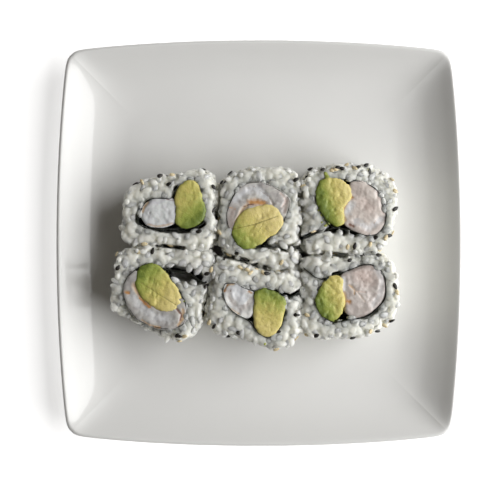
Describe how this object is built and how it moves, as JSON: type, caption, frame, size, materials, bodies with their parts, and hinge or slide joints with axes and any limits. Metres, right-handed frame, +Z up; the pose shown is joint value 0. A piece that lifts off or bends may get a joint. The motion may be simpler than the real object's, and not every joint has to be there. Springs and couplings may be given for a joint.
{
  "type": "uramaki sushi plate",
  "caption": "Uramaki pieces with prawn, avocado and seaweed inside seeded rice, standing cut side up in two rows on a square porcelain plate with bowed sides.",
  "frame": {"origin": "on the table, under the middle of the plate", "axes": "+Z up; +Y towards the back row of pieces; +X to the right as seen from the front"},
  "size_m": [0.205, 0.205, 0.0345],
  "materials": {
    "porcelain": "gloss",
    "rice": "satin",
    "nori": "satin",
    "avocado": "satin",
    "prawn": "satin"
  },
  "bodies": {
    "root": {"plate": "porcelain", "rice_back_left": "rice", "nori_back_left": "nori", "avocado_back_left": "avocado", "prawn_back_left": "prawn", "rice_back_middle": "rice", "nori_back_middle": "nori", "avocado_back_middle": "avocado", "prawn_back_middle": "prawn", "rice_back_right": "rice", "nori_back_right": "nori", "avocado_back_right": "avocado", "prawn_back_right": "prawn", "rice_front_left": "rice", "nori_front_left": "nori", "avocado_front_left": "avocado", "prawn_front_left": "prawn", "rice_front_middle": "rice", "nori_front_middle": "nori", "avocado_front_middle": "avocado", "prawn_front_middle": "prawn", "rice_front_right": "rice", "nori_front_right": "nori", "avocado_front_right": "avocado", "prawn_front_right": "prawn"}
  },
  "joints": []
}
